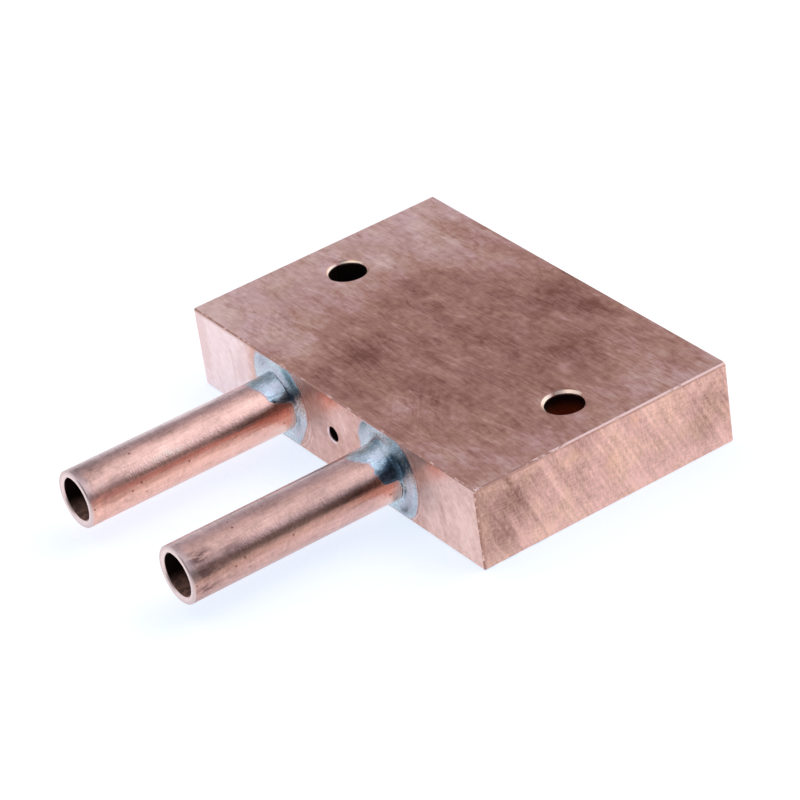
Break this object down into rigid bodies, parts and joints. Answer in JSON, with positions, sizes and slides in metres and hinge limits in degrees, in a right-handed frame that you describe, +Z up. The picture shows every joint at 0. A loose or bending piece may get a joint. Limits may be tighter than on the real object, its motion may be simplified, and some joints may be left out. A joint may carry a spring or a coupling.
{
  "type": "liquid heat exchanger",
  "caption": "Solid copper cold plate with drilled coolant channels, two straight soldered pipes on one long side, fixing holes through it and a blind pocket for a temperature probe.",
  "frame": {"origin": "middle of the block's underside, midway between the two fixing holes", "axes": "+Z up, along the fixing holes and through the block's thickness; +X along the block's long side; -Y the way the pipes point"},
  "size_m": [0.0636, 0.072, 0.012],
  "materials": {
    "copper_block": "sanded copper, warm brown-pink, lightly tarnished",
    "copper_pipe": "drawn copper tube, satin, fine scratches round it",
    "copper_plug": "copper plug, sanded flush",
    "solder": "soft solder, blue-grey, smooth and fairly glossy"
  },
  "bodies": {
    "root": {"block": "copper_block", "inlet_pipe": "copper_pipe", "outlet_pipe": "copper_pipe", "inlet_solder_joint": "solder", "outlet_solder_joint": "solder", "channel_plug": "copper_plug", "plug_solder_ring": "solder"}
  },
  "joints": []
}
